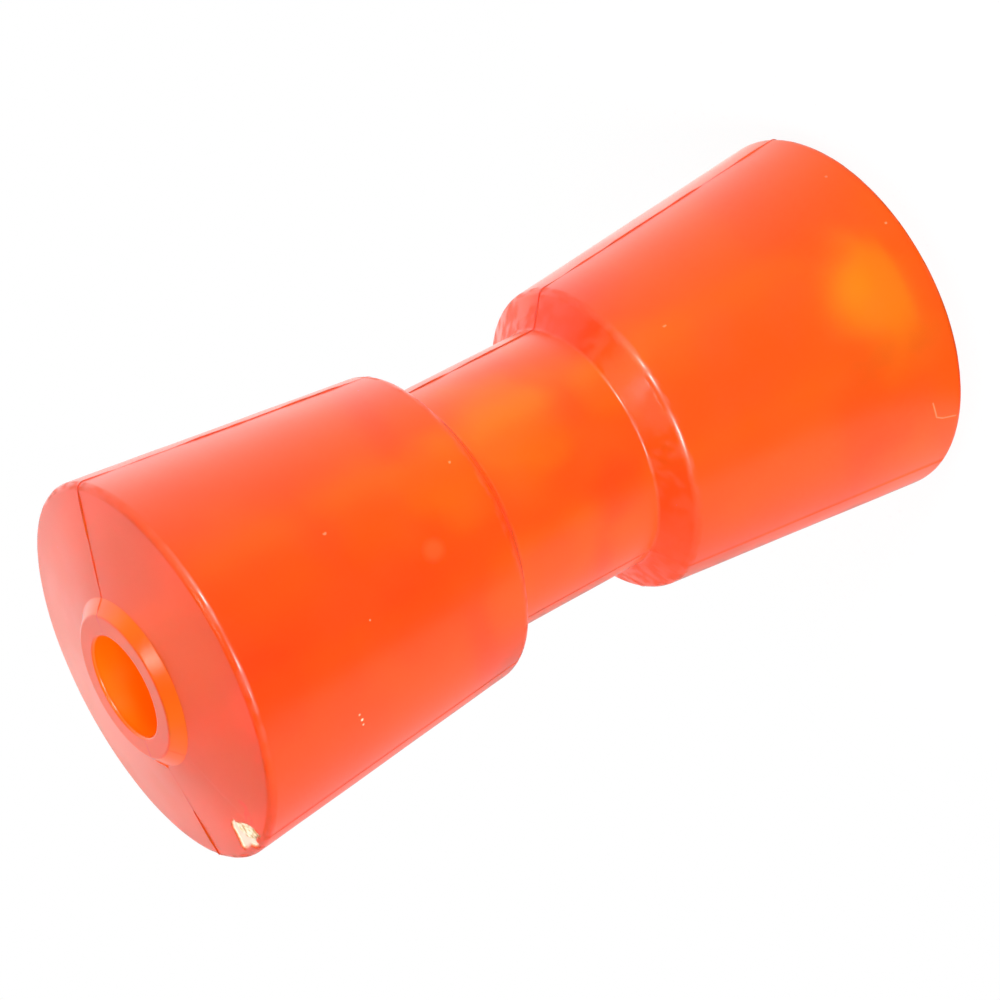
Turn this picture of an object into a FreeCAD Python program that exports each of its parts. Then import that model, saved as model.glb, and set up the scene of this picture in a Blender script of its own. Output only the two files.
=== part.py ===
import FreeCAD, Part
import math
import os

# A boat trailer's keel roller, moulded in one piece from clear orange polyurethane. Millimetres.
# It stands on one end. Z runs up the bore, and the origin is at the middle of the bore.
# The mould's two halves met in the plane y = 0, and left a fine raised line along both sides.

# Driving dimensions
overall_length = 200.0          # between the flat faces of the two end bosses
bore_diameter = 23.0            # runs free on a 22 mm shaft
bore_mouth_chamfer = 0.4        # broken edge of the bore's mouth

boss_height = 2.5               # how far a boss stands above the end face round it
boss_face_diameter = 32.4       # flat ring that bears on the bracket
boss_base_diameter = 38.2
boss_edge_radius = 1.2
boss_root_radius = 0.6          # fillet between the boss and the end face

end_face_fall = 3.9             # the end face falls away from the boss to the rim
rim_diameter = 85.8             # widest part of a drum
rim_radius = 1.8                # rounded edge of the rim

drum_inner_diameter = 71.4      # narrow end of a drum, beside the waist
drum_gap = 45.8                 # between the narrow ends of the two drums
drum_inner_radius = 2.6         # rounded edge of the narrow end
waist_diameter = 56.8
waist_length = 36.6             # straight part, between the feet of the sloped shoulders
waist_fillet_radius = 1.0

# The raised moulding line
flash_width = 0.5
flash_height = 0.3
flash_stop = 0.7                # how far below a boss's flat face the line ends

# The chip torn out of the upper end face beside the rim
chip_angle = -152.5             # degrees round from the moulding line's +X side
chip_from_rim = 1.0             # lip of rim left outside the chip
chip_length = 6.8               # from the lip inwards
chip_inner_width = 4.6
chip_outer_width = 9.2
chip_inner_depth = 0.15
chip_outer_depth = 0.7

# Worked out from the driving dimensions
half_length = overall_length / 2
boss_base_height = half_length - boss_height
rim_height = boss_base_height - end_face_fall
end_face_slope = end_face_fall / (rim_diameter / 2 - boss_base_diameter / 2)
clear_of_solid = 5.0            # how far a cutting shape stands clear of the surface it cuts
origin = FreeCAD.Vector(0, 0, 0)
up = FreeCAD.Vector(0, 0, 1)


def at(diameter, height):
    """Point of the half section, on the side where x is positive."""
    return FreeCAD.Vector(diameter / 2, 0, height)


def corner_arc(before, corner, after, radius):
    """Start, middle and end of the arc of this radius that rounds a corner of an outline."""
    to_before = (before - corner).normalize()
    to_after = (after - corner).normalize()
    half_angle = to_before.getAngle(to_after) / 2
    tangent_length = radius / math.tan(half_angle)
    middle_way = (to_before + to_after).normalize()
    centre = corner + middle_way * (radius / math.sin(half_angle))
    return (
        corner + to_before * tangent_length,
        centre - middle_way * radius,
        corner + to_after * tangent_length,
    )


def outline_face(corners, as_splines):
    """Face inside a closed outline of (point, radius) corners, each rounded by its radius."""
    count = len(corners)
    stretches = []
    for index, (corner, radius) in enumerate(corners):
        before = corners[index - 1][0]
        after = corners[(index + 1) % count][0]
        if radius > 0:
            stretches.append(corner_arc(before, corner, after, radius))
        else:
            stretches.append((corner, corner, corner))
    edges = []
    for index, (start, middle, end) in enumerate(stretches):
        if start != end:
            arc = Part.Arc(start, middle, end)
            edges.append(arc.toBSpline().toShape() if as_splines else arc.toShape())
        next_start = stretches[(index + 1) % count][0]
        edges.append(Part.LineSegment(end, next_start).toShape())
    return Part.Face(Part.Wire(edges))


def half_section(as_splines):
    """The roller's section on one side of the bore."""
    upper = [
        (at(waist_diameter, waist_length / 2), waist_fillet_radius),
        (at(drum_inner_diameter, drum_gap / 2), drum_inner_radius),
        (at(rim_diameter, rim_height), rim_radius),
        (at(boss_base_diameter, boss_base_height), boss_root_radius),
        (at(boss_face_diameter, half_length), boss_edge_radius),
        (at(bore_diameter + 2 * bore_mouth_chamfer, half_length), 0),
        (at(bore_diameter, half_length - bore_mouth_chamfer), 0),
    ]
    lower = [(FreeCAD.Vector(point.x, 0, -point.z), radius) for point, radius in reversed(upper)]
    return outline_face(lower + upper, as_splines)


def turned(face, start_angle, sweep):
    """Solid swept by a half section round the Z axis, from start_angle on."""
    section = face.copy()
    section.rotate(origin, up, start_angle)
    return section.revolve(origin, up, sweep)


def moulding():
    """The roller as the mould shaped it, without the moulding line, from two half turns."""
    section = half_section(True)
    return turned(section, 90, 180).fuse(turned(section, 270, 180))


def moulding_line():
    """Fine ridge down both sides, from just under one flat face to just under the other."""
    grown = Part.Face(half_section(False).makeOffset2D(flash_height).OuterWire)
    inner = (bore_diameter + boss_face_diameter) / 2
    outer = rim_diameter + clear_of_solid
    end = half_length - flash_stop
    reach = Part.Face(Part.makePolygon([
        at(inner, -end),
        at(outer, -end),
        at(outer, end),
        at(inner, end),
        at(inner, -end),
    ]))
    strip = grown.common(reach)
    sweep = math.degrees(flash_width / (rim_diameter / 2))
    ridges = [turned(strip, side - sweep / 2, sweep) for side in (0, 180)]
    return ridges[0].fuse(ridges[1])


def chip_section(radius, width, depth):
    """Cut through the chip at this distance from the bore's axis, tilted as the tear is."""
    surface = rim_height + end_face_slope * (rim_diameter / 2 - radius)
    top = surface + clear_of_solid
    return Part.makePolygon([
        FreeCAD.Vector(radius, -width / 2, surface - depth),
        FreeCAD.Vector(radius, width / 2, surface - depth / 2),
        FreeCAD.Vector(radius, width / 2, top),
        FreeCAD.Vector(radius, -width / 2, top),
        FreeCAD.Vector(radius, -width / 2, surface - depth),
    ])


def chip():
    """Wedge that is narrow and shallow at its inner end, and widens towards the rim."""
    outer_radius = rim_diameter / 2 - chip_from_rim
    inner_radius = outer_radius - chip_length
    wedge = Part.makeLoft(
        [
            chip_section(inner_radius, chip_inner_width, chip_inner_depth),
            chip_section(outer_radius, chip_outer_width, chip_outer_depth),
        ],
        True,
        True,
    )
    wedge.rotate(origin, up, chip_angle)
    return wedge


def roller():
    """The whole roller, one solid."""
    return moulding().fuse(moulding_line()).cut(chip())


os.makedirs("parts", exist_ok=True)
solids = roller().Solids
solids[0].exportStep("parts/roller.step")
box = solids[0].optimalBoundingBox()
print("solids", len(solids), "valid", solids[0].isValid())
print("volume cm3", round(solids[0].Volume / 1000, 2))
print("box", round(box.XLength, 3), round(box.YLength, 3), round(box.ZLength, 3))
print("middle", round(box.Center.x, 3), round(box.Center.y, 3), round(box.Center.z, 3))
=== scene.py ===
import math

import bpy
import numpy as np
from mathutils import Matrix, Vector, noise


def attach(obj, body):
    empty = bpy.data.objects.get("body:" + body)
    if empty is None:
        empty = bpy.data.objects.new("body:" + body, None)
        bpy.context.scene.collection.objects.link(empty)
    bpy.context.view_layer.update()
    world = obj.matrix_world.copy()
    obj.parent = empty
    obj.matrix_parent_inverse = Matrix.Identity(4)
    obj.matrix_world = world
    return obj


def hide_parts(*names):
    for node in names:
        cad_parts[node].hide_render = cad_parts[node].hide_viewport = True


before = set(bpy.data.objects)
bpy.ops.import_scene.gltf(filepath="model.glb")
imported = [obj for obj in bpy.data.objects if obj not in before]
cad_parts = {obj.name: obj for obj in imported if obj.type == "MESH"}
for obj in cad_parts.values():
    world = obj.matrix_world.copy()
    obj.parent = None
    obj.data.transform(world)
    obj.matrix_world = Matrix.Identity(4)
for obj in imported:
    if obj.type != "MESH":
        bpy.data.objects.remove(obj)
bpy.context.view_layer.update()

# Sizes in metres, the same as in the solid
overall_length = 0.2
bore_diameter = 0.023
bore_mouth_chamfer = 0.0004
boss_height = 0.0025
boss_face_diameter = 0.0324
boss_base_diameter = 0.0382
boss_edge_radius = 0.0012
boss_root_radius = 0.0006
end_face_fall = 0.0039
rim_diameter = 0.0858
rim_radius = 0.0018
drum_inner_diameter = 0.0714
drum_gap = 0.0458
drum_inner_radius = 0.0026
waist_diameter = 0.0568
waist_length = 0.0366
waist_fillet_radius = 0.001
flash_width = 0.0005
flash_height = 0.0003
flash_stop = 0.0007

half_length = overall_length / 2
boss_base_height = half_length - boss_height
rim_height = boss_base_height - end_face_fall
bore_reach = bore_diameter / 2 + bore_mouth_chamfer
boss_flank_radius = 0.0178      # middle of the slope between a boss's face and its foot

# How closely the mesh's lines lie
around_step = math.radians(2.4)
corner_support = 0.00025        # how far from each corner the next line lies
waist_spacing = 0.0022
lower_face_spacing = 0.0018
ridge_lines = 12
chip_reach = math.radians(8.5)
chip_lines = 68

# Surface detail
waviness = 0.00004
edge_nicks = 0.00005
weak_ridge = 0.3                # share of the moulding line's height on the drums' -X side
broken_ridge = 0.15             # share of its height that is left in a break
flash_breaks = [(0.0712, 0.0, 0.0011), (0.0965, math.pi, 0.0009)]

# The chip: its place, and its ragged outline in millimetres outwards and round from its tip
chip_angle = math.radians(-152.5)
chip_tip_radius = 0.0346
chip_outline = [
    (0.1, 1.2), (0.9, 0.9), (1.6, 2.9), (2.9, 4.7), (4.3, 5.4), (5.6, 5.6), (6.6, 6.0), (6.1, 3.8),
    (5.9, 2.7), (7.0, 2.4), (7.6, 1.4), (7.4, 0.1), (6.4, -0.9), (6.2, -1.8), (6.1, -3.2), (5.6, -5.4),
    (4.7, -5.0), (3.5, -3.8), (2.3, -3.0), (1.1, -2.3), (0.3, -1.4), (0.1, -0.3),
]
facet_edge = [(-0.5, 1.2), (2.3, -0.8), (4.0, -0.7), (8.5, 3.5), (8.5, -7), (-0.5, -7)]
chip_depth = 0.0005
least_chip_depth = 0.00005
facet_depth = 0.00012
ledge_depth = 0.00022
flake_depth = 0.00008
curl_height = 0.00012

# Places where glow of light through the resin is painted, and painted shade with a minus: height, angle, reach
# and amount
painted_glow_places = [
    (-0.078, -70, 0.016, 0.55), (-0.082, -90, 0.013, 0.35), (-0.079, -138, 0.016, 0.4),
    (-0.045, -131, 0.020, 0.2), (-0.029, -56, 0.012, 0.25), (0.005, -45, 0.017, 0.75),
    (-0.016, -53, 0.010, 0.4), (0.010, -62, 0.013, 0.4), (0.030, -61, 0.014, 0.55),
    (0.050, -58, 0.016, 0.25), (0.078, -58, 0.020, 0.2), (0.076, -93, 0.018, -0.1),
    (0.089, -94, 0.014, -0.2), (0.050, -97, 0.014, -0.2), (-0.009, -97, 0.010, -0.3),
    (0.011, -112, 0.012, -0.2), (-0.021, -15, 0.016, -0.4), (0.030, 60, 0.020, 0.4),
    (-0.060, 110, 0.024, -0.3), (0.070, 150, 0.020, 0.3), (-0.085, 40, 0.020, 0.3),
]
# Painted glow of light through the resin: its middle level, its fall upwards, and more on the upper end and the
# boss flanks
middle_painted_glow = 0.38
painted_glow_fall = 2.8            # lost in each metre upwards
upper_end_painted_glow = 0.45
boss_flank_painted_glow = 0.8

# Marks on the drums, and a painted highlight, as distances round from the moulding line and heights
mark_radius = 0.0424
marks_from_radius = 0.03
scratch_path = [(-0.0840, -0.0852), (-0.0884, -0.0863), (-0.0894, -0.0880), (-0.0903, -0.0917)]
# Pale ticks and dots, and last a broad faint spot that is a painted highlight: round, height, reach and amount
pale_dots_and_highlight = [
    (-0.0844, 0.0697, 0.0004, 0.6), (-0.0861, 0.0692, 0.0005, 0.9), (-0.0876, 0.0690, 0.0004, 0.7),
    (-0.0655, 0.0615, 0.0003, 0.4), (-0.0588, 0.0414, 0.0035, 0.06),
]
smudge_path = [(-0.0260, -0.0239), (-0.0302, -0.0230)]
speck_spacing = 0.004
speck_share = 0.06
speck_radius = 0.0005
speck_strength = 0.25

# Clear orange resin: shares of light lost in each metre, and how much isn't scattered
green_absorbed = 26.0
blue_absorbed = 90.0
resin_clearness = 0.87
smoothest = 0.277
scuffing = 0.03                 # added roughness of scuffed places, of worn edges and of pale marks
edge_wear = 0.25
mark_roughness = 0.4
ring_fineness = 2600            # turning marks in each metre outwards or upwards
ring_unevenness = 9
ring_depth = 0.000009

# Colours
deep_orange = (1.0, 0.17, 0.001, 1)
glow_orange = (1.0, 0.38, 0.002, 1)
# End faces: painted shade, their red a little darker
end_face_shade_tint = (0.88, 1, 1, 1)
smudge_red = (1.0, 0.1, 0.0, 1)
dark_red = (0.75, 0.04, 0.012, 1)
pale_mark_and_highlight = (1.0, 0.62, 0.45, 1)
torn_dark = (0.6, 0.34, 0.13, 1)
torn_pale = (0.96, 0.8, 0.58, 1)
facet_pink = (0.98, 0.66, 0.52, 1)


def corner_arc(before, corner, after, radius, count):
    """Points of the arc that rounds a corner of an outline."""
    to_before = (before - corner).normalized()
    to_after = (after - corner).normalized()
    half_angle = to_before.angle(to_after) / 2
    centre = corner + (to_before + to_after).normalized() * (radius / math.sin(half_angle))
    tangent = radius / math.tan(half_angle)
    start = corner + to_before * tangent - centre
    end = corner + to_after * tangent - centre
    swing = start.angle(end)
    if start.x * end.y < start.y * end.x:
        swing = -swing
    return [centre + Matrix.Rotation(swing * step / count, 2) @ start for step in range(count + 1)]


def profile():
    """Closed outline of the half section as (radius, height) points."""
    # Radius, height, rounding, pieces in the arc, and spacing of points on the run that follows
    upper = [
        (waist_diameter / 2, waist_length / 2, waist_fillet_radius, 5, 0.0011),
        (drum_inner_diameter / 2, drum_gap / 2, drum_inner_radius, 9, 0.0026),
        (rim_diameter / 2, rim_height, rim_radius, 12, 0.00034),
        (boss_base_diameter / 2, boss_base_height, boss_root_radius, 5, 0.0008),
        (boss_face_diameter / 2, half_length, boss_edge_radius, 6, 0.0009),
        (bore_reach, half_length, 0, 0, 0.0002),
        (bore_diameter / 2, half_length - bore_mouth_chamfer, 0, 0, 0.007),
    ]
    lower = []
    for index in range(len(upper) - 1, -1, -1):
        radius, height, rounding, pieces, _ = upper[index]
        spacing = upper[index - 1][4] if index else waist_spacing
        if height == boss_base_height:
            spacing = lower_face_spacing
        lower.append((radius, -height, rounding, pieces, spacing))
    corners = upper + lower
    runs = []
    for index, (radius, height, rounding, pieces, _) in enumerate(corners):
        corner = Vector((radius, height))
        before = Vector(corners[index - 1][:2])
        after = Vector(corners[(index + 1) % len(corners)][:2])
        runs.append(corner_arc(before, corner, after, rounding, pieces) if rounding else [corner])
    points = []
    for index, run in enumerate(runs):
        points += run
        start, end = run[-1], runs[(index + 1) % len(runs)][0]
        length = (end - start).length
        if length > 3 * corner_support:
            pieces = max(1, round((length - 2 * corner_support) / corners[index][4]))
            first = corner_support / length
            shares = [first + part / pieces * (1 - 2 * first) for part in range(pieces + 1)]
            points += [start.lerp(end, share) for share in shares]
    return np.array([tuple(point) for point in points])


def wrapped(angle):
    """Angle brought between minus and plus half a turn."""
    return (angle + math.pi) % (2 * math.pi) - math.pi


def angles():
    """Angles of the mesh's lines round the axis: even, and closer at the moulding line and the chip."""
    ridge_reach = 3.2 * flash_width / rim_diameter
    lines = np.arange(-math.pi, math.pi - 1e-9, around_step)
    for middle, reach, count in [
        (0.0, ridge_reach, ridge_lines),
        (math.pi, ridge_reach, ridge_lines),
        (chip_angle, chip_reach, chip_lines),
    ]:
        lines = lines[np.abs(wrapped(lines - middle)) > reach]
        lines = np.append(lines, wrapped(middle + np.linspace(-reach, reach, count + 1)))
    return np.sort(lines)


def depth_inside(points, outline):
    """Distance of each point from an outline, positive inside it."""
    corners = np.array(outline)
    distance = np.full(len(points), 1e9)
    inside = np.zeros(len(points), bool)
    for start, end in zip(corners, np.roll(corners, -1, axis=0)):
        edge = end - start
        share = np.clip(((points - start) @ edge) / (edge @ edge), 0, 1)
        distance = np.minimum(distance, np.linalg.norm(points - start - share[:, None] * edge, axis=1))
        crosses = (start[1] > points[:, 1]) != (end[1] > points[:, 1])
        rise = edge[1] if edge[1] else 1e-9
        inside ^= crosses & (points[:, 0] < start[0] + (points[:, 1] - start[1]) * edge[0] / rise)
    return np.where(inside, distance, -distance)


def smooth_noise(points, wavelength, seed, octaves=2):
    """Fractal noise at each point, about -1 to 1."""
    offset = Vector((seed * 7.13, seed * 3.71, seed * 5.37))
    return np.array([noise.fractal(Vector(point) / wavelength + offset, 1.0, 2.0, octaves) for point in points])


def smooth_step(value, low, high):
    """Smooth rise from 0 at low to 1 at high."""
    share = np.clip((value - low) / (high - low), 0, 1)
    return share * share * (3 - 2 * share)


def outward_directions(section):
    """Unit normals of the half section, as (radius, height)."""
    ahead = np.roll(section, -1, axis=0) - section
    behind = section - np.roll(section, 1, axis=0)
    tangent = ahead / np.linalg.norm(ahead, axis=1)[:, None] + behind / np.linalg.norm(behind, axis=1)[:, None]
    tangent /= np.linalg.norm(tangent, axis=1)[:, None]
    return np.stack([tangent[:, 1], -tangent[:, 0]], axis=1)


def painted_glow_and_tone(place, radius, angle):
    """Painted glow of light through the resin at each point, 0 to 1, with some random tone: more towards its
    lower end, on the upper end, on the boss flanks and in places, less where shade is painted.
    """
    height = place[:, 2]
    clear = middle_painted_glow - painted_glow_fall * height + 0.1 * smooth_noise(place, 0.02, 6, 3)
    clear += upper_end_painted_glow * smooth_step(height, 0.092, 0.095)
    on_flank = (np.abs(radius - boss_flank_radius) < 0.0014) * (height > boss_base_height - 0.0002)
    clear += boss_flank_painted_glow * on_flank
    wobble = 1 + 0.3 * smooth_noise(place, 0.009, 10)
    for middle, turn, reach, amount in painted_glow_places:
        round_gap = radius * wrapped(angle - math.radians(turn))
        gap = np.hypot(height - middle, round_gap) * wobble
        clear += amount * (1 - smooth_step(gap, 0.3 * reach, reach))
    return np.clip(clear, 0, 1)


def ridge_strength(place, height, cos):
    """Height of the moulding line at each point, as a share of its full height."""
    side = np.where(cos > 0, 0.0, math.pi)
    strength = np.clip(0.7 + 0.9 * smooth_noise(place, 0.006, 2), 0.12, 1)
    for break_height, break_side, reach in flash_breaks:
        near = (side == break_side) & (np.abs(np.abs(height) - break_height) < reach)
        strength[near & (height < 0 if break_side == 0 else height > 0)] *= broken_ridge
    strength[(cos < 0) & (np.abs(height) < rim_height)] *= weak_ridge
    return strength


def chip_forms(spot, along, across):
    """Chip and facet, 0 to 1, and the outward move of points near the chip."""
    flat = np.stack([along, across], axis=1)
    inside = depth_inside(flat, chip_outline)
    inside += smooth_noise(spot, 0.0009, 3, 3) * 0.25
    chip = smooth_step(inside, -0.05, 0.2)
    wandering = flat + 0.3 * smooth_noise(spot, 0.0012, 11)[:, None]
    facet = smooth_step(depth_inside(wandering, facet_edge), -0.1, 0.1)
    flakes = smooth_noise(spot * np.array([1, 1, 0.2]), 0.0016, 4, 4)
    ledge = np.round(flakes * 2.2) / 2.2
    rough_part = 1 - facet
    torn = chip_depth * (0.35 + 0.65 * np.clip(along / 7, 0, 1))
    torn += (ledge_depth * ledge + flake_depth * flakes) * rough_part + facet_depth * facet
    curl = curl_height * smooth_step(inside, -0.5, -0.1) * (1 - smooth_step(inside, -0.1, 0.1))
    curl *= smooth_step(flakes, -0.1, 0.5) * rough_part
    return chip, facet, curl - chip * np.maximum(torn, least_chip_depth)


def roller_mesh():
    """The roller's skin as one closed mesh, with its moulding line, slight waviness and chip."""
    section = profile()
    turns = angles()
    rows, columns = len(section), len(turns)
    outward = outward_directions(section)
    radius, height = np.repeat(section, columns, axis=0).T
    out, rise = np.repeat(outward, columns, axis=0).T
    angle = np.tile(turns, rows)
    cos, sin = np.cos(angle), np.sin(angle)
    place = np.stack([radius * cos, radius * sin, height], axis=1)
    normal = np.stack([out * cos, out * sin, rise], axis=1)

    # Waves, and nicks in the rounded edges
    wave = smooth_noise(place, 0.014, 1)
    move = (wave - wave.max()) * waviness
    rounded = (out > 0.35) & (np.abs(rise) > 0.12) & (radius > bore_diameter)
    nicks = smooth_noise(place, 0.0022, 5)
    move -= np.where(rounded, np.clip(nicks, 0, 1) * edge_nicks, 0)

    # The moulding line
    ridge = 1 - smooth_step(np.abs(place[:, 1]), flash_width * 0.1, flash_width * 0.5)
    ridge[(np.abs(height) > half_length - flash_stop) | (radius < bore_reach + 0.0001)] = 0
    move += ridge * flash_height * ridge_strength(place, height, cos)

    # The chip, in millimetres outwards and round from its tip
    local = wrapped(angle - chip_angle)
    along = (radius * np.cos(local) - chip_tip_radius) * 1000
    across = radius * np.sin(local) * 1000
    near = (height > rim_height - 0.003) & (radius > 0.031) & (np.abs(across) < 7.5) & (rise > 0.2)
    chip = np.zeros(len(place))
    facet = np.zeros(len(place))
    chip[near], facet[near], chip_move = chip_forms(place[near], along[near], across[near])
    move[near] += chip_move

    index = np.arange(rows * columns).reshape(rows, columns)
    right = np.roll(index, -1, axis=1)
    up = np.roll(index, -1, axis=0)
    faces = np.stack([index, right, np.roll(up, -1, axis=1), up], axis=2).reshape(-1, 4)
    mesh = bpy.data.meshes.new("polyurethane_roller")
    mesh.from_pydata((place + normal * move[:, None]).tolist(), [], faces.tolist())
    patterns = {
        "chip": chip,
        # clear: painted glow of light through the resin, and painted shade where it is low, with some random
        # tone
        "clear": painted_glow_and_tone(place, radius, angle),
        "facet": facet,
        "worn": rounded * smooth_step(smooth_noise(place, 0.0026, 12, 3), -0.05, 0.1),
        "patchy": smooth_step(smooth_noise(place, 0.007, 7), -0.5, 0.3),
        "scuffed": smooth_step(smooth_noise(place, 0.012, 8, 3), -0.2, 0.5),
        "flake": smooth_step(smooth_noise(place, 0.0011, 9, 3), -0.45, 0.25),
    }
    for name, values in patterns.items():
        mesh.attributes.new(name, "FLOAT", "POINT").data.foreach_set("value", values.astype(np.float32))
    mesh.shade_smooth()
    return mesh


class Nodes:
    """Short ways to add nodes to a material or world."""

    def __init__(self, owner):
        owner.use_nodes = True
        self.tree = owner.node_tree
        self.tree.nodes.clear()

    def add(self, kind, inputs=None, **settings):
        node = self.tree.nodes.new(kind)
        for name, value in settings.items():
            setattr(node, name, value)
        for name, value in (inputs or {}).items():
            self.put(node.inputs[name], value)
        return node

    def put(self, socket, value):
        """Links an output to an input, or sets the input to a plain value."""
        if isinstance(value, bpy.types.NodeSocket):
            self.tree.links.new(value, socket)
        else:
            socket.default_value = value

    def math(self, operation, first, second=0.0, third=0.0, clamp=False):
        inputs = {0: first, 1: second, 2: third}
        return self.add("ShaderNodeMath", inputs, operation=operation, use_clamp=clamp).outputs[0]

    def product(self, *factors):
        result = factors[0]
        for factor in factors[1:]:
            result = self.math("MULTIPLY", result, factor)
        return result

    def vector(self, operation, first, second=(0, 0, 0)):
        """Vector that comes out of a vector operation."""
        return self.add("ShaderNodeVectorMath", {0: first, 1: second}, operation=operation).outputs[0]

    def measure(self, operation, first, second=(0, 0, 0)):
        """Number that comes out of a vector operation."""
        return self.add("ShaderNodeVectorMath", {0: first, 1: second}, operation=operation).outputs["Value"]

    def scaled(self, vector, factor):
        return self.add("ShaderNodeVectorMath", {0: vector, "Scale": factor}, operation="SCALE").outputs[0]

    def joined(self, x, y, z=0.0):
        return self.add("ShaderNodeCombineXYZ", {0: x, 1: y, 2: z}).outputs[0]

    def rise(self, value, low, high, bottom=0.0, top=1.0):
        """Smooth change from bottom at low to top at high."""
        names = ["Value", "From Min", "From Max", "To Min", "To Max"]
        inputs = dict(zip(names, [value, low, high, bottom, top]))
        return self.add("ShaderNodeMapRange", inputs, interpolation_type="SMOOTHSTEP").outputs[0]

    def mix(self, factor, first, second, blend="MIX"):
        """Mix of two colours."""
        node = self.add("ShaderNodeMix", data_type="RGBA", blend_type=blend)
        self.put(node.inputs[0], factor)
        self.put(node.inputs[6], first)
        self.put(node.inputs[7], second)
        return node.outputs[2]

    def choose(self, factor, first, second):
        """First number where the factor is 0, second where it is 1."""
        return self.add("ShaderNodeMix", {0: factor, 2: first, 3: second}).outputs[0]

    def stored(self, name):
        """Pattern that the mesh carries."""
        return self.add("ShaderNodeAttribute", attribute_name=name).outputs["Fac"]


def gap_to_line(nodes, place, points):
    """Distance of a flat place from a bent line through these points."""
    nearest = None
    for start, end in zip(points, points[1:]):
        run = Vector((end[0] - start[0], end[1] - start[1], 0))
        away = nodes.vector("SUBTRACT", place, (start[0], start[1], 0))
        share = nodes.math("DIVIDE", nodes.measure("DOT_PRODUCT", away, run), run.length_squared, clamp=True)
        gap = nodes.measure("DISTANCE", away, nodes.scaled(tuple(run), share))
        nearest = gap if nearest is None else nodes.math("MINIMUM", nearest, gap)
    return nearest


def specks(nodes, place):
    """1 on a fine speck, 0 elsewhere: one may lie in each cell of a grid."""
    cells = nodes.scaled(place, 1 / speck_spacing)
    cell = nodes.vector("FLOOR", cells)
    chance = nodes.add("ShaderNodeTexWhiteNoise", {"Vector": cell}, noise_dimensions="3D").outputs
    from_speck = nodes.measure("DISTANCE", nodes.vector("SUBTRACT", cells, cell), chance["Color"])
    reach = nodes.rise(chance["Value"], 1 - speck_share, 1, 0, speck_radius / speck_spacing)
    return nodes.math("LESS_THAN", from_speck, reach)


def drum_marks_and_highlight(nodes, around):
    """Strength of the hairline scratch, the row of whitish ticks, a whitish dot, and a broad faint whitish spot
    that is a painted highlight.
    """
    marks_and_highlight = nodes.rise(gap_to_line(nodes, around, scratch_path), 0.00022, 0.00006, 0, 0.34)
    for turn, height, reach, amount in pale_dots_and_highlight:
        gap = nodes.measure("DISTANCE", around, (turn, height, 0))
        marks_and_highlight = nodes.math("MAXIMUM", marks_and_highlight, nodes.rise(gap, reach, reach * 0.3, 0, amount))
    return marks_and_highlight


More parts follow.
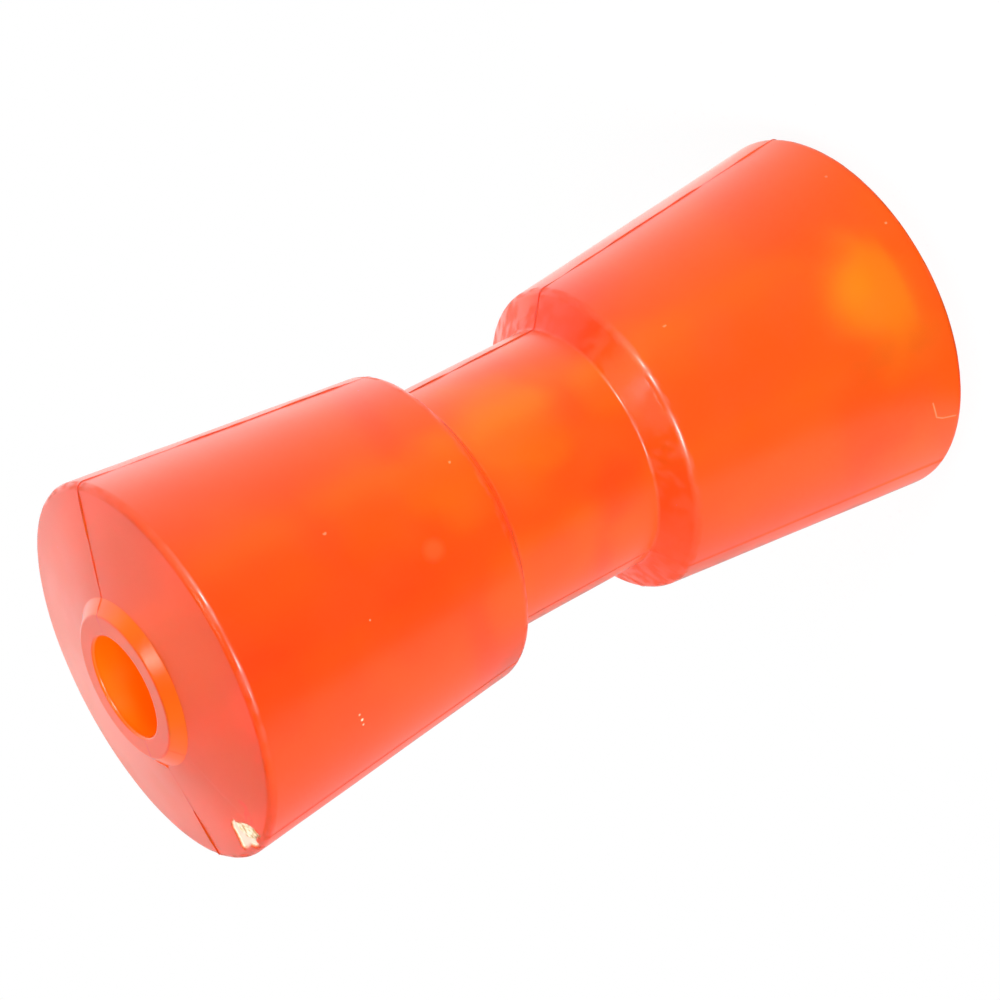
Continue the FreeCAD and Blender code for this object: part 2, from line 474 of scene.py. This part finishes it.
def polyurethane():
    """Clear orange polyurethane, slightly cloudy, marked by its mould and by use, with painted glow and shade
    of light through it, painted shade on its end faces and a painted highlight.
    """
    material = bpy.data.materials.new("polyurethane")
    nodes = Nodes(material)
    place = nodes.add("ShaderNodeTexCoord").outputs["Object"]
    parts = nodes.add("ShaderNodeSeparateXYZ", {0: place}).outputs
    x, y, z = parts[0], parts[1], parts[2]
    flat = nodes.joined(x, y)
    radius = nodes.measure("LENGTH", flat)
    angle = nodes.math("ARCTAN2", y, x)

    # Deep orange, turned yellower where glow of light through the resin is painted, deeper where shade is
    # painted, with some random tone
    colour = nodes.mix(nodes.stored("clear"), deep_orange, glow_orange)

    # The end faces, their red painted a little darker as shade, and the smudge on the upper one
    end_face = nodes.rise(nodes.math("ABSOLUTE", z), rim_height - 0.001, rim_height)
    from_flank = nodes.math("ABSOLUTE", nodes.math("SUBTRACT", radius, boss_flank_radius))
    off_flank = nodes.math("GREATER_THAN", from_flank, 0.0012)
    painted_end_shade = nodes.product(end_face, off_flank, nodes.math("GREATER_THAN", radius, bore_reach))
    colour = nodes.mix(painted_end_shade, colour, end_face_shade_tint, "MULTIPLY")
    smudge = nodes.rise(gap_to_line(nodes, flat, smudge_path), 0.0018, 0.0004, 0, 0.6)
    smudge = nodes.product(smudge, nodes.stored("flake"), nodes.math("GREATER_THAN", z, rim_height))
    colour = nodes.mix(smudge, colour, smudge_red)

    # The moulding line, darker than the rest and faint on the drums' -X side
    line = nodes.rise(nodes.math("ABSOLUTE", y), 0.0004, 0.00012)
    outside = nodes.rise(radius, bore_reach, bore_reach + 0.0004)
    minus_side = nodes.math("LESS_THAN", x, -0.026)
    faint = nodes.math("MULTIPLY", minus_side, nodes.math("LESS_THAN", z, rim_height - 0.001))
    line = nodes.product(line, outside, nodes.stored("patchy"), nodes.choose(faint, 0.5, 0.08))
    colour = nodes.mix(line, colour, dark_red)

    # Fine pale specks and marks, a broad faint painted highlight, and the torn chip
    around = nodes.joined(nodes.math("MULTIPLY", angle, mark_radius), z)
    on_drums = nodes.math("GREATER_THAN", radius, marks_from_radius)
    marks_and_highlight = nodes.math("MULTIPLY", drum_marks_and_highlight(nodes, around), on_drums)
    pale_and_highlight = nodes.math("MAXIMUM", nodes.math("MULTIPLY", specks(nodes, place), speck_strength), marks_and_highlight)
    chip = nodes.stored("chip")
    torn = nodes.mix(nodes.stored("flake"), torn_dark, torn_pale)
    torn = nodes.mix(nodes.stored("facet"), torn, facet_pink)
    colour = nodes.mix(pale_and_highlight, colour, pale_mark_and_highlight)
    colour = nodes.mix(chip, colour, torn)

    # Fine turning marks from the mould
    ring_place = nodes.joined(
        nodes.math("MULTIPLY", radius, ring_fineness),
        nodes.math("MULTIPLY", z, ring_fineness),
        nodes.math("MULTIPLY", angle, ring_unevenness),
    )
    rings = nodes.add("ShaderNodeTexNoise", {"Vector": ring_place, "Scale": 1.0, "Detail": 0.0}).outputs["Fac"]
    bump = nodes.add("ShaderNodeBump", {"Strength": 1.0, "Distance": ring_depth, "Height": rings}).outputs[0]

    opaque = nodes.math("MAXIMUM", chip, pale_and_highlight)
    roughness = nodes.math("MULTIPLY_ADD", nodes.stored("scuffed"), scuffing, smoothest)
    roughness = nodes.math("MULTIPLY_ADD", nodes.stored("worn"), edge_wear, roughness)
    roughness = nodes.math("MULTIPLY_ADD", opaque, mark_roughness, roughness)
    shader = nodes.add("ShaderNodeBsdfPrincipled", {
        "Base Color": colour,
        "Roughness": roughness,
        "IOR": 1.5,
        "Transmission Weight": nodes.math("MULTIPLY", resin_clearness, nodes.math("SUBTRACT", 1.0, opaque)),
        "Normal": bump,
    })
    absorb = nodes.add("ShaderNodeVolumeAbsorption", {
        "Color": (1.0, 1 - green_absorbed / blue_absorbed, 0.0, 1),
        "Density": blue_absorbed,
    })
    nodes.add("ShaderNodeOutputMaterial", {"Surface": shader.outputs[0], "Volume": absorb.outputs[0]})
    return material


roller = bpy.data.objects.new("polyurethane_roller", roller_mesh())
bpy.context.scene.collection.objects.link(roller)
roller.data.materials.append(polyurethane())
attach(roller, "root")
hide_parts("roller")

# The studio: a pale floor, white all round, dim in front and brightest on the left
front = Vector((0.306, -0.952, 0))
studio_brightness = [
    (-180, 1.15), (-158, 0.7), (-62, 0.7), (-52, 0.12), (-42, 0.02), (15, 0.0), (37, 0.25), (67, 0.85),
    (97, 1.4), (125, 1.8), (145, 1.6), (180, 1.25),
]
brightest = 1.9
floor_reach = 3.0
floor_paleness = 0.9
shadow_share = 0.12
overhead_direction = (0.22, -0.16, 0.962)
overhead_brightness = 16.0
lamp_distance = 1.2
lamp_width = 0.3
lamp_height = 0.18
lamp_brightness = 80.0


def studio(nodes, direction):
    """How bright the studio is in a direction, for light that the roller mirrors or lets through."""
    parts = nodes.add("ShaderNodeSeparateXYZ", {0: nodes.vector("NORMALIZE", direction)}).outputs
    side = Vector((-front.y, front.x, 0))
    ahead = nodes.measure("DOT_PRODUCT", direction, front)
    aside = nodes.measure("DOT_PRODUCT", direction, side)
    turn = nodes.math("MULTIPLY_ADD", nodes.math("ARCTAN2", aside, ahead), 0.5 / math.pi, 0.5)
    ramp = nodes.add("ShaderNodeValToRGB", {0: turn})
    stops = ramp.color_ramp.elements
    for place, (degrees, level) in enumerate(studio_brightness):
        position = degrees / 360 + 0.5
        stop = stops[place] if place < 2 else stops.new(position)
        stop.position = position
        shade = level / brightest
        stop.color = (shade, shade, shade, 1)
    near_floor = nodes.rise(parts[2], -0.2, 0.1, 1, 1.5)
    higher_up = nodes.rise(parts[2], 0.22, 0.42, 1, 0.74)
    level_round = nodes.product(ramp.outputs[0], brightest, near_floor, higher_up)
    overhead = nodes.rise(parts[0], -0.2, 0.15, 0.05, 0.2)
    return nodes.choose(nodes.rise(parts[2], 0.62, 0.8), level_round, overhead)


def surroundings(nodes, path, direction, plain):
    """Brightness for each kind of ray: white for the camera, the plain level for soft light."""
    seen = studio(nodes, direction)
    through = nodes.math("MULTIPLY_ADD", nodes.math("MAXIMUM", seen, 0.5), 0.49, 0.73)
    above = nodes.measure("DOT_PRODUCT", nodes.vector("NORMALIZE", direction), overhead_direction)
    seen = nodes.math("ADD", seen, nodes.rise(above, 0.988, 0.997, 0, overhead_brightness))
    mirrored = nodes.math("SUBTRACT", path["Is Glossy Ray"], path["Is Transmission Ray"], clamp=True)
    strength = nodes.choose(path["Is Camera Ray"], plain, 1.0)
    strength = nodes.choose(path["Is Transmission Ray"], strength, through)
    return nodes.choose(mirrored, strength, seen)


def floor_paper():
    """Pale paper that looks white to the camera and keeps the roller's shadow."""
    material = bpy.data.materials.new("floor_paper")
    material.cycles.emission_sampling = "NONE"
    nodes = Nodes(material)
    path = nodes.add("ShaderNodeLightPath").outputs
    place = nodes.add("ShaderNodeNewGeometry").outputs["Position"]
    paper = nodes.add("ShaderNodeBsdfDiffuse", {"Color": (floor_paleness, floor_paleness, floor_paleness, 1)})
    glow = nodes.add("ShaderNodeEmission", {"Strength": surroundings(nodes, path, place, floor_paleness)})
    shaded = nodes.rise(nodes.measure("LENGTH", place), 0.07, 0.17, shadow_share, 0.0)
    share = nodes.math("SUBTRACT", 1.0, nodes.math("MULTIPLY", path["Is Camera Ray"], shaded))
    mix = nodes.add("ShaderNodeMixShader", {0: share, 1: paper.outputs[0], 2: glow.outputs[0]})
    nodes.add("ShaderNodeOutputMaterial", {"Surface": mix.outputs[0]})
    return material


def studio_world():
    """White all round."""
    world = bpy.data.worlds.new("studio")
    world.cycles.sampling_method = "NONE"
    nodes = Nodes(world)
    path = nodes.add("ShaderNodeLightPath").outputs
    direction = nodes.add("ShaderNodeTexCoord").outputs["Generated"]
    background = nodes.add("ShaderNodeBackground", {"Strength": surroundings(nodes, path, direction, 1.0)})
    nodes.add("ShaderNodeOutputWorld", {"Surface": background.outputs[0]})
    return world


def softbox(name, direction):
    """Rectangular soft lamp that faces the roller and lights it, but isn't seen through it."""
    data = bpy.data.lights.new(name, "AREA")
    data.shape = "RECTANGLE"
    data.size, data.size_y = lamp_width, lamp_height
    data.energy = lamp_brightness * lamp_width * lamp_height * math.pi
    holder = bpy.data.objects.new(name, data)
    towards = Vector(direction).normalized()
    holder.location = towards * lamp_distance
    holder.rotation_mode = "QUATERNION"
    holder.rotation_quaternion = towards.to_track_quat("Z", "Y")
    holder.visible_transmission = False
    bpy.context.scene.collection.objects.link(holder)


floor_mesh = bpy.data.meshes.new("floor")
floor_corners = [
    (-floor_reach, -floor_reach, -half_length),
    (floor_reach, -floor_reach, -half_length),
    (floor_reach, floor_reach, -half_length),
    (-floor_reach, floor_reach, -half_length),
]
floor_mesh.from_pydata(floor_corners, [], [(0, 1, 2, 3)])
floor = bpy.data.objects.new("floor", floor_mesh)
bpy.context.scene.collection.objects.link(floor)
floor.data.materials.append(floor_paper())

bpy.context.scene.world = studio_world()
softbox("softbox_right", (0.608, -0.736, 0.242))
softbox("softbox_left", (-0.102, -0.932, 0.346))

# Camera at the photo's viewing angle, turned so that the bore runs down to the left
camera_place = (0.219415, -0.689205, 0.372554)
camera_right = (-0.322659, -0.525369, -0.787324)
camera_up = (0.906382, 0.068151, -0.416927)
camera_back = (0.272698, -0.848141, 0.454196)
camera_data = bpy.data.cameras.new("camera")
camera_data.lens = 135.6085
camera_data.sensor_width = 36
camera_data.clip_start = 0.01
camera_data.clip_end = 20
camera = bpy.data.objects.new("camera", camera_data)
camera.matrix_world = Matrix([*zip(camera_right, camera_up, camera_back, camera_place), (0, 0, 0, 1)])
bpy.context.scene.collection.objects.link(camera)
bpy.context.scene.camera = camera
bpy.context.scene.view_settings.view_transform = "Standard"
bpy.context.scene.cycles.glossy_bounces = 6
bpy.context.scene.cycles.transmission_bounces = 6
bpy.context.scene.cycles.max_bounces = 8
